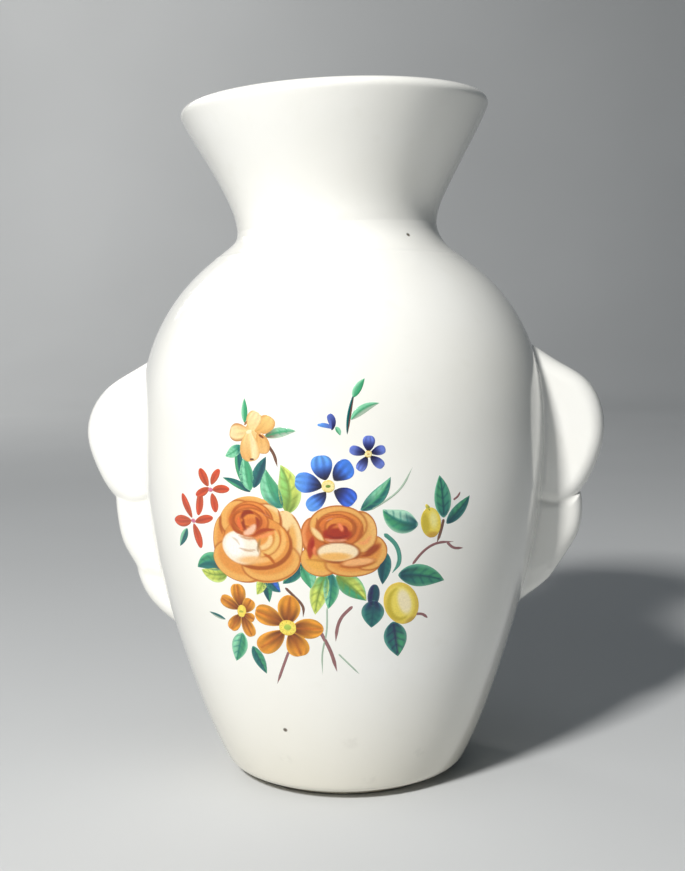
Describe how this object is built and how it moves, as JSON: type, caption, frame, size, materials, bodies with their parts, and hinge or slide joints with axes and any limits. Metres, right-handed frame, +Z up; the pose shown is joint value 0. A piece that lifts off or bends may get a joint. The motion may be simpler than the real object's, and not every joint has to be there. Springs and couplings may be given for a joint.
{
  "type": "flower vase",
  "caption": "White glazed earthenware vase with an ovoid body, flared neck, lobed ear handles at the sides and a bright floral transfer on the front.",
  "frame": {"origin": "centre of the foot ring, on the plane that the vase stands on", "axes": "+Z up along the body's axis, front with the transfer faces -Y, handles along X"},
  "size_m": [0.1309, 0.1009, 0.1669],
  "materials": {
    "glaze": "gloss white glaze",
    "bare_clay": "matt unglazed",
    "rose_enamel": "gloss fired enamel",
    "blue_enamel": "gloss fired enamel",
    "violet_blue_enamel": "gloss fired enamel",
    "red_enamel": "gloss fired enamel",
    "apricot_enamel": "gloss fired enamel",
    "amber_enamel": "gloss fired enamel",
    "lemon_enamel": "gloss fired enamel",
    "green_enamel": "gloss fired enamel",
    "stem_enamel": "gloss fired enamel"
  },
  "bodies": {
    "root": {"vase_body": "glaze", "flared_neck": "glaze", "left_handle": "glaze", "right_handle": "glaze", "foot_ring": "bare_clay", "rose_left": "rose_enamel", "rose_right": "rose_enamel", "blue_flower_large": "blue_enamel", "blue_flower_small": "violet_blue_enamel", "blue_bud": "violet_blue_enamel", "red_blossom_upper": "red_enamel", "red_blossom_lower": "red_enamel", "apricot_blossom": "apricot_enamel", "amber_flower_large": "amber_enamel", "amber_flower_small": "amber_enamel", "lemon_upper": "lemon_enamel", "lemon_lower": "lemon_enamel", "leaves": "green_enamel", "stems": "stem_enamel"}
  },
  "joints": []
}
